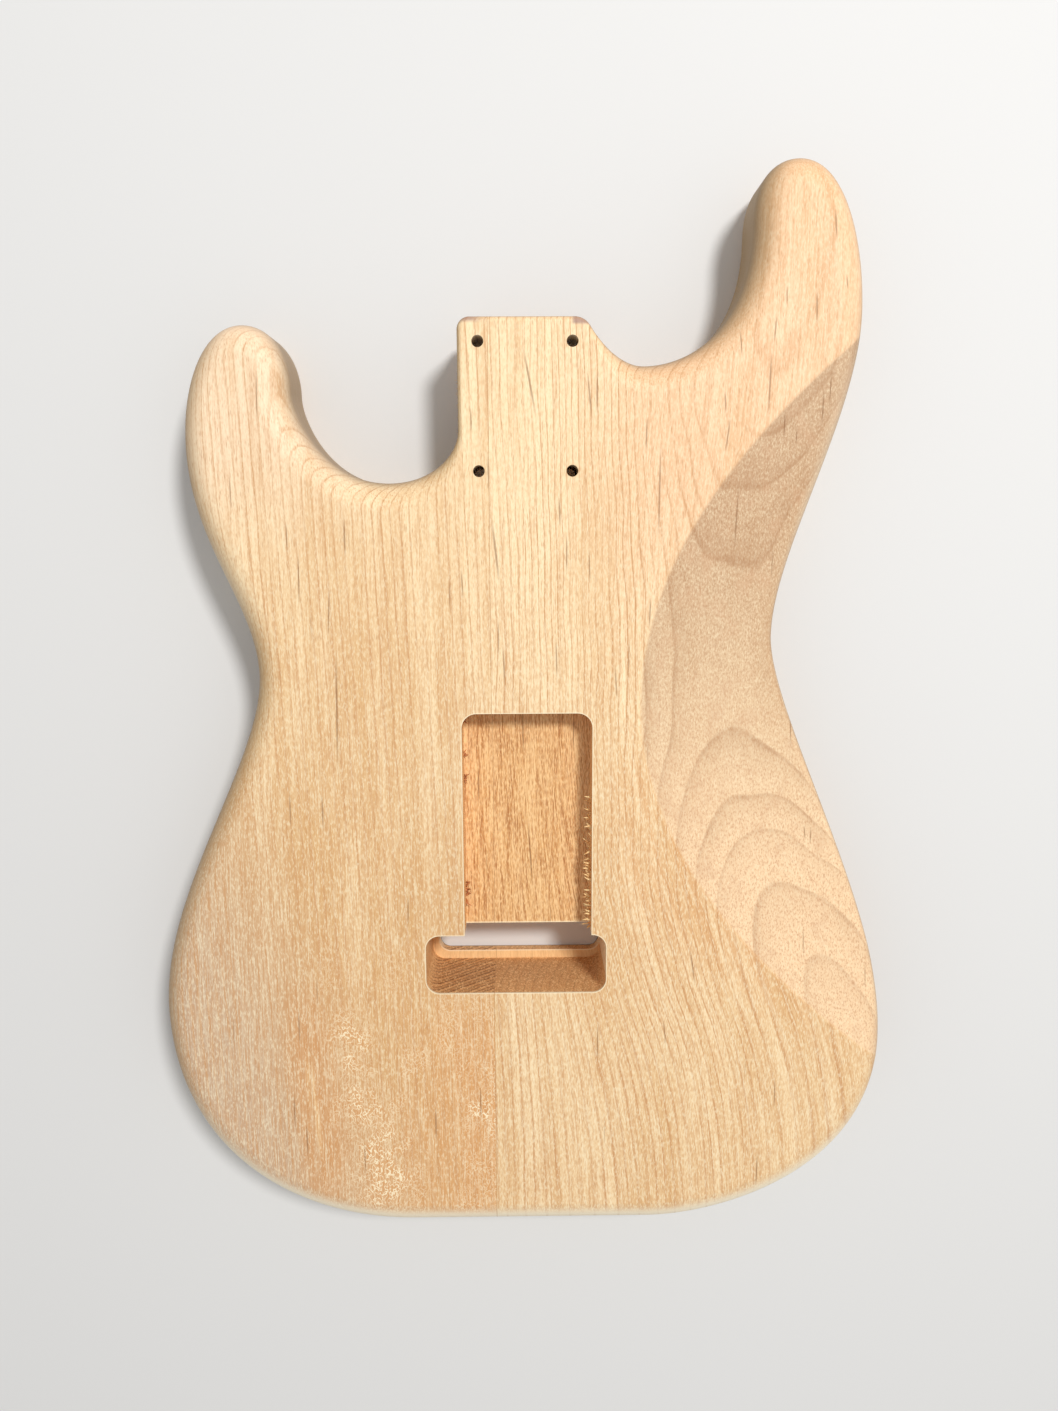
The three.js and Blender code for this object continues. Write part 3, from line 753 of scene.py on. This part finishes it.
def treble_figure(x, y, z, band, line, colour):
    """Curly patches between the flame and the seam, and the heel corner scorched by the router."""
    swell = noise(x, y, z, (26, 60, 26)) * 22 - 11
    patchy = noise(x, y, z, (13, 20, 13), 1).ramp(0.45, 0.65, 0, 0.55)
    broken = noise(x, y, z, (8, 11, 8), 1).ramp(0.38, 0.6, 0.3, 1.1)
    for place_x, place_y, patch in curly_patches:
        near = ((x - place_x).squared() + (y - place_y).squared() * 0.4).step("SQRT")
        patchy = patchy.step("MAXIMUM", near.ramp(patch * 0.1, patch, 1.3, 0) * broken)
    grit = noise(x, y, z, (0.6, 14, 0.6), 1)
    colour = mixed(colour, late_wood, grit.ramp(0.5, 0.68) * y.ramp(160, -60, 0, 0.36))
    colour = mixed(colour, glint_wood, grit.ramp(0.5, 0.32) * y.ramp(160, -60, 0, 0.2))
    curl = noise(x, y, z, (1.4, 2.2, 1.4), 1)
    worm = (curl - 0.5).size().ramp(0.02, 0.06, 1, 0)
    where = (x + swell).ramp(-102, -86) * y.ramp(20, -80, 0.15, 1)
    colour = mixed(colour, flame_orange, where * patchy * 0.3)
    colour = mixed(colour, curl_wood, worm * where * patchy * 0.85)
    return mixed(colour, scorched, y.ramp(250.2, 252.4) * x.ramp(-16, -22, 0.15, 0.85))


def treble_marks(x, y):
    marks = fleck(x, y, (-107.6, 234.7), (-108.3, 211.4), 0.4)
    for start, end, width in (
        ((-15.7, 202), (-14.3, 173), 0.5),
        ((-98.2, 173.6), (-98.4, 159.4), 0.4),
        ((-93.8, 162.6), (-94.4, 136.8), 0.45),
        ((-81.6, 147), (-82.8, 124.2), 0.4),
        ((-79.6, 124), (-80.9, 64), 0.55),
        ((-52.1, 13.7), (-52.5, -3.2), 0.4),
        ((-26.9, 154.1), (-26.3, 140.5), 0.4),
        ((-22, 219), (-22, 207), 0.4),
    ):
        marks = marks.step("MAXIMUM", fleck(x, y, start, end, width))
    return marks


treble_rings = {"ring_width": 6.2, "ring_strength": 1.1, "end_strength": 1}
treble_board = portion("treble_board_wood", -far, seam - glue_thickness / 2)
treble_wood = alder(
    "treble alder", treble_reach, treble_ground, treble_figure, treble_marks, **treble_rings
)
finished(treble_board, "treble_board", treble_wood)

# Bass board
# The wider alder board, flat-sawn from beside the pith, so its rings spread in long arches where the belly
# cut crosses them. It carries the bass horn, most of the heel and the belly cut.
first_ring = 69.5
pith_middle = 135
pith_stations = [
    (-148, 158), (-80, 151), (-20, 132), (40, 111), (100, 97), (160, 95), (230, 102), (300, 104),
]
pith_heights = [
    (-148, 50), (-80, 48), (-20, 58), (40, 84), (100, 101), (160, 100), (230, 86), (300, 80),
]
belly_pale = (248, 214, 172)
belly_shade_grey = (192, 158, 124)
belly_speck = (206, 160, 124)
arch_brown = (166, 120, 84)
horn_pink = (247, 205, 162)


def along_board(y, stations, low, high):
    """A number that follows a smooth curve through a few stations along the body, from tail to neck."""
    node = y.tree.nodes.new("ShaderNodeFloatCurve")
    y.tree.links.new(((y + tail_reach) / body_length).socket, node.inputs["Value"])
    points = node.mapping.curves[0].points
    shares = [((place + tail_reach) / body_length, (value - low) / (high - low)) for place, value in stations]
    points[0].location = shares[0]
    points[1].location = shares[-1]
    for share in shares[1:-1]:
        points.new(*share)
    node.mapping.update()
    return Place(y.tree, node.outputs[0]) * (high - low) + low


def bass_reach(x, y, z):
    """How far a place is to the side of the bent pith above the back face, which fibres follow, and from it.

    The bend fades out towards the seam, and the rings nearest the pith are wider."""
    bend = along_board(y, pith_stations, 50, 200) - pith_middle
    aside = x - pith_middle - bend * x.ramp(seam, 65, 0.15, 1)
    kink = noise(x, y, z, (22, 30, 22), 0) * 5 - 2.5
    height = z - along_board(y, pith_heights, 0, 150) + kink
    reach = (aside.squared() + height.squared() + 25).step("SQRT") - first_ring
    return aside, reach + (reach * -1).above(23.5, 4) * 0.5


def belly_depth(x, y):
    """How deep the belly drum goes below the back face."""
    radius = belly_cut["radius"]
    rise = ((y - belly_cut["start"][1]).squared() * -1 + radius**2).step("SQRT") * -1 + radius
    return (x - belly_cut["start"][0]) * math.tan(belly_cut["dip"]) - rise / math.cos(belly_cut["dip"])


def bass_ground(x, y, z, shade, streak):
    """Pinkish on the horn and tan towards the tail, with an orange stripe beside the belly cut."""
    # The tan towards the tail is partly the board's own tone and partly painted shade.
    shade = shade + y.ramp(260, -40, 0, 0.62)
    colour = mixed(pale_wood, horn_pink, y.ramp(90, 190) * x.ramp(5, 65))
    colour = mixed(colour, tan_wood, shade.step("MAXIMUM", 0))
    stripe = (y - x * -0.55 - 62).size().ramp(20, 60, 1, 0) * x.ramp(28, 50)
    return mixed(colour, flame_orange, stripe * streak.ramp(0.35, 0.6, 0.15, 0.4))


def bass_figure(x, y, z, band, line, colour):
    """The belly cut crosses the fibres. It is painted greyer towards the neck and paler towards the tail,
    mostly as painted shade for the sheen that the tilted, cross-cut surface loses under the light, partly as
    the cut fibres' own tone.
    """
    cut = belly_depth(x, y).ramp(0.05, 0.4) * z.ramp(20, 28)
    neckwards = y.ramp(20, 170)
    # Painted shade: the cut greys towards the neck.
    belly = mixed(belly_pale, belly_shade_grey, y.ramp(0, 190, 0.05, 0.92))
    speck = noise(x, y, z, (0.6, 1.3, 0.6), 2, 0.6)
    belly = mixed(belly, belly_speck, speck.ramp(0.5, 0.66, 0, 0.8) * (neckwards * -1 + 1))
    belly = mixed(belly, arch_brown, speck.ramp(0.5, 0.66, 0, 0.62) * neckwards)
    belly = mixed(belly, glint_wood, speck.ramp(0.5, 0.32, 0, 0.42))
    mottle = noise(x, y, z, (9, 14, 9), 3)
    belly = mixed(belly, belly_speck, mottle.ramp(0.5, 0.7, 0, 0.3))
    clear = mottle.ramp(0.35, 0.6, 1, 0.5)
    belly = mixed(belly, arch_brown, band * clear * (neckwards * 0.3 + 0.22))
    belly = mixed(belly, arch_brown, line * clear * (neckwards * 0.34 + 0.28))
    colour = mixed(colour, belly, cut * 0.8)
    return mixed(colour, scorched, y.ramp(249.4, 251) * x.between(20, 26, 2) * 0.85)


def bass_marks(x, y):
    marks = fleck(x, y, (-1.2, 243.9), (4.7, 211.7), 0.6)
    for start, end, width in (
        ((24.8, 234.2), (27, 211.6), 0.5),
        ((-14.3, 176), (-10.9, 144.6), 0.65),
        ((49.2, 214.7), (49, 198.9), 0.45),
        ((55, 207.6), (54.5, 161.9), 0.5),
        ((13.6, 183.9), (14, 169), 0.5),
        ((83.2, 215.3), (81.2, 198), 0.45),
        ((51.8, 143), (51.2, 126.3), 0.45),
        ((26, 162), (26.4, 145.6), 0.4),
        ((-9.9, 122.5), (-9.2, 102.6), 0.45),
        ((12.3, 125.7), (12.7, 105.5), 0.45),
        ((37.1, 113.8), (38.1, 96.8), 0.4),
        ((71.2, -12.2), (73.8, -30.9), 0.45),
        ((59.8, -44.9), (61.4, -59.2), 0.4),
        ((87.5, 189), (86.8, 158.4), 0.45),
        ((105.2, 216.5), (105.6, 204.8), 0.45),
        ((110.8, 210), (110.9, 202.5), 0.4),
        ((123.7, 232), (123.9, 217.5), 0.4),
        ((122.3, 40.3), (122.9, 32.7), 0.4),
        ((125.6, 39.3), (125.2, 30.3), 0.4),
        ((-1.9, 96), (-1.5, 70), 0.5),
        ((20.8, 92), (20.4, 70), 0.4),
        ((0.1, 46), (2.4, 6), 0.5),
        ((122.4, 294.3), (123.4, 280.6), 0.5),
        ((100.6, 254), (99.8, 241.5), 0.45),
        ((116.2, 263.7), (116.8, 248.5), 0.45),
        ((104.2, 265.3), (104.5, 256), 0.4),
        ((86.3, 248.6), (87.1, 236), 0.4),
        ((99, 241), (98.3, 212.5), 0.5),
        ((80.5, 225.5), (81.2, 213.8), 0.45),
        ((128, 269), (128.6, 262.5), 0.4),
        ((121, 225.5), (121.5, 210), 0.5),
    ):
        marks = marks.step("MAXIMUM", fleck(x, y, start, end, width))
    return marks


bass_rings = {"ring_width": 7.3, "ring_strength": 1.35, "end_strength": 0.22}
bass_board = portion("bass_board_wood", seam + glue_thickness / 2, far)
bass_wood = alder("bass alder", bass_reach, bass_ground, bass_figure, bass_marks, **bass_rings)
finished(bass_board, "bass_board", bass_wood)

# Glue lines
# A thin film of aliphatic wood glue holds the boards together. The block slot cuts it into a neck part and a
# tail part, and on the faces it shows as a fine amber line.
glue_amber = (206, 160, 108)
glue_dark = (180, 128, 80)
seam_edges = (seam - glue_thickness / 2, seam + glue_thickness / 2)


def glue_film():
    material = bpy.data.materials.new("dried glue")
    material.use_nodes = True
    tree = material.node_tree
    shader = tree.nodes["Principled BSDF"]
    x, y, z = parts_of(tree, tree.nodes.new("ShaderNodeTexCoord").outputs["Object"], 1 / mm)
    smear = noise(x, y, z, (3, 9, 3), 3)
    tree.links.new(mixed(glue_amber, glue_dark, smear.ramp(0.35, 0.65)), shader.inputs["Base Color"])
    tree.links.new((smear * 0.3 + 0.3).socket, shader.inputs["Roughness"])
    bump = tree.nodes.new("ShaderNodeBump")
    bump.inputs["Distance"].default_value = 0.04 * mm
    tree.links.new(smear.socket, bump.inputs["Height"])
    tree.links.new(bump.outputs[0], shader.inputs["Normal"])
    return material


glue = glue_film()
for node, low_y, high_y in (("glue_line_neck", slot_middle, far), ("glue_line_tail", -far, slot_middle)):
    film = portion(node + "_film", *seam_edges, low_y, high_y)
    film.data.materials.clear()
    film.data.materials.append(glue)
    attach(film, "root")
    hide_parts(node)
bpy.data.objects.remove(blank)

# Torn fibres
# The cutter worked against the grain on the cavity's bass wall and beside the heel, and left fine splinters
# standing off the wood there, and in small tufts at the foot of the treble wall.
fresh_gold = (255, 226, 166)
shaded_gold = (212, 152, 90)
fresh_red = (206, 132, 78)
shaded_red = (136, 74, 38)
fibre_draw = np.random.default_rng(11)
splinter_stations = ((0, 0.7), (0.35, 1), (0.75, 0.6))


def torn_fibre(name, fresh, shaded):
    """Torn alder standing off the wood, with a little dust on it."""
    material = bpy.data.materials.new(name)
    material.use_nodes = True
    tree = material.node_tree
    shader = tree.nodes["Principled BSDF"]
    x, y, z = parts_of(tree, tree.nodes.new("ShaderNodeTexCoord").outputs["Object"], 1 / mm)
    dust = noise(x, y, z, (0.5, 0.9, 0.5))
    tree.links.new(mixed(fresh, shaded, dust.ramp(0.4, 0.7)), shader.inputs["Base Color"])
    tree.links.new((dust * 0.2 + 0.6).socket, shader.inputs["Roughness"])
    bump = tree.nodes.new("ShaderNodeBump")
    bump.inputs["Distance"].default_value = 0.05 * mm
    tree.links.new(dust.socket, bump.inputs["Height"])
    tree.links.new(bump.outputs[0], shader.inputs["Normal"])
    return material


def splinter(root, way, length, width):
    """A curved splinter with a three-sided section, tapered to a point."""
    way = np.array(way) / np.linalg.norm(way)
    side = np.cross(way, fibre_draw.normal(size=3))
    side /= np.linalg.norm(side)
    rise = np.cross(way, side)
    bend = side * fibre_draw.uniform(-0.3, 0.3) * length
    points = []
    for along, taper in splinter_stations:
        middle = np.array(root) + way * length * along + bend * along**2
        for corner in range(3):
            angle = corner * 2 * math.pi / 3
            points.append(middle + (side * math.cos(angle) + rise * math.sin(angle)) * width / 2 * taper)
    points.append(np.array(root) + way * length + bend)
    return points


splinter_faces = [(2, 1, 0)]
for level in range(len(splinter_stations) - 1):
    for corner in range(3):
        low, next_low = level * 3 + corner, level * 3 + (corner + 1) % 3
        splinter_faces.append((low, next_low, next_low + 3, low + 3))
tip = 3 * len(splinter_stations)
splinter_faces += [(tip - 3, tip - 2, tip), (tip - 2, tip - 1, tip), (tip - 1, tip - 3, tip)]


def tuft(name, material, stands):
    """One piece of all the splinters that stand on a board."""
    points, faces = [], []
    for root, way, length, width in stands:
        first = len(points)
        points += splinter(root, way, length, width)
        faces += [tuple(first + corner for corner in face) for face in splinter_faces]
    made = solid(name, points, faces)
    made.data.materials.append(material)
    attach(made, "root")


cavity_wall = spring_cavity["width"] / 2
cavity_floor = body_thickness - spring_cavity["depth"]
root_depth = 0.1
bass_splinters = 72
bass_tear_start = 66
bass_tear_length = 71
bass_stands = []
for _ in range(bass_splinters):
    y = bass_tear_start - bass_tear_length * math.sqrt(fibre_draw.uniform())
    root = (cavity_wall + root_depth, y, fibre_draw.uniform(cavity_floor + 6, body_thickness - 2.5))
    way = (-1, fibre_draw.normal(0.5, 0.5), fibre_draw.normal(0.3, 0.3))
    bass_stands.append((root, way, fibre_draw.uniform(2.4, 4.8), fibre_draw.uniform(0.6, 1.2)))
gold_fibre = torn_fibre("torn gold fibre", fresh_gold, shaded_gold)
tuft("bass_board_splinters", gold_fibre, bass_stands)
treble_tufts = ((87, 4), (72, 6), (61.5, 10), (11, 12), (6, 9))
treble_stands = []
for tuft_y, count in treble_tufts:
    for _ in range(count):
        root_y = tuft_y + fibre_draw.normal(0, 1.2)
        root = (-cavity_wall - root_depth, root_y, cavity_floor + fibre_draw.uniform(0, 3))
        way = (1, fibre_draw.normal(0, 0.8), fibre_draw.normal(0.3, 0.4))
        treble_stands.append((root, way, fibre_draw.uniform(1.2, 3.4), fibre_draw.uniform(0.4, 0.8)))
# The treble tufts are painted dark red; part of that darkness is painted shade for the foot of the wall.
red_fibre = torn_fibre("torn red fibre", fresh_red, shaded_red)
tuft("treble_board_splinters", red_fibre, treble_stands)
heel_splinters = 26
heel_stands = []
for _ in range(heel_splinters):
    root = (-heel_width / 2 + 0.15, fibre_draw.uniform(207, 233), fibre_draw.uniform(34, 41.5))
    way = (-1, fibre_draw.normal(0, 0.8), fibre_draw.normal(0.3, 0.5))
    heel_stands.append((root, way, fibre_draw.uniform(0.6, 1.6), fibre_draw.uniform(0.1, 0.18)))
tuft("heel_splinters", gold_fibre, heel_stands)

# Floor, light and view
# The body lies on a plain pale floor, under one large soft lamp beyond its bass horn and an even white room.
floor_size = 8
floor_gap = 0.3
floor_white = (226, 225, 223)
bpy.ops.mesh.primitive_plane_add(size=floor_size, location=(0, 0, -floor_gap * mm))
floor = bpy.context.object
floor.name = "floor"
floor_paint = bpy.data.materials.new("floor paint")
floor_paint.use_nodes = True
floor_shader = floor_paint.node_tree.nodes["Principled BSDF"]
floor_shader.inputs["Base Color"].default_value = paint(floor_white)
floor_shader.inputs["Roughness"].default_value = 0.8
floor.data.materials.append(floor_paint)

lamp = bpy.data.lights.new("softbox", "AREA")
lamp.shape = "DISK"
lamp.size = 0.34
lamp.energy = 26.5
softbox = bpy.data.objects.new("softbox", lamp)
softbox.location = (0.6, 0.92, 1.68)
aim = Vector((0, 0.05, 0.04)) - softbox.location
softbox.rotation_euler = aim.to_track_quat("-Z", "Y").to_euler()
scene.collection.objects.link(softbox)
world = bpy.data.worlds.new("room")
world.use_nodes = True
world.node_tree.nodes["Background"].inputs["Color"].default_value = (1, 1, 1, 1)
world.node_tree.nodes["Background"].inputs["Strength"].default_value = 0.5
scene.world = world
scene.view_settings.view_transform = "Standard"
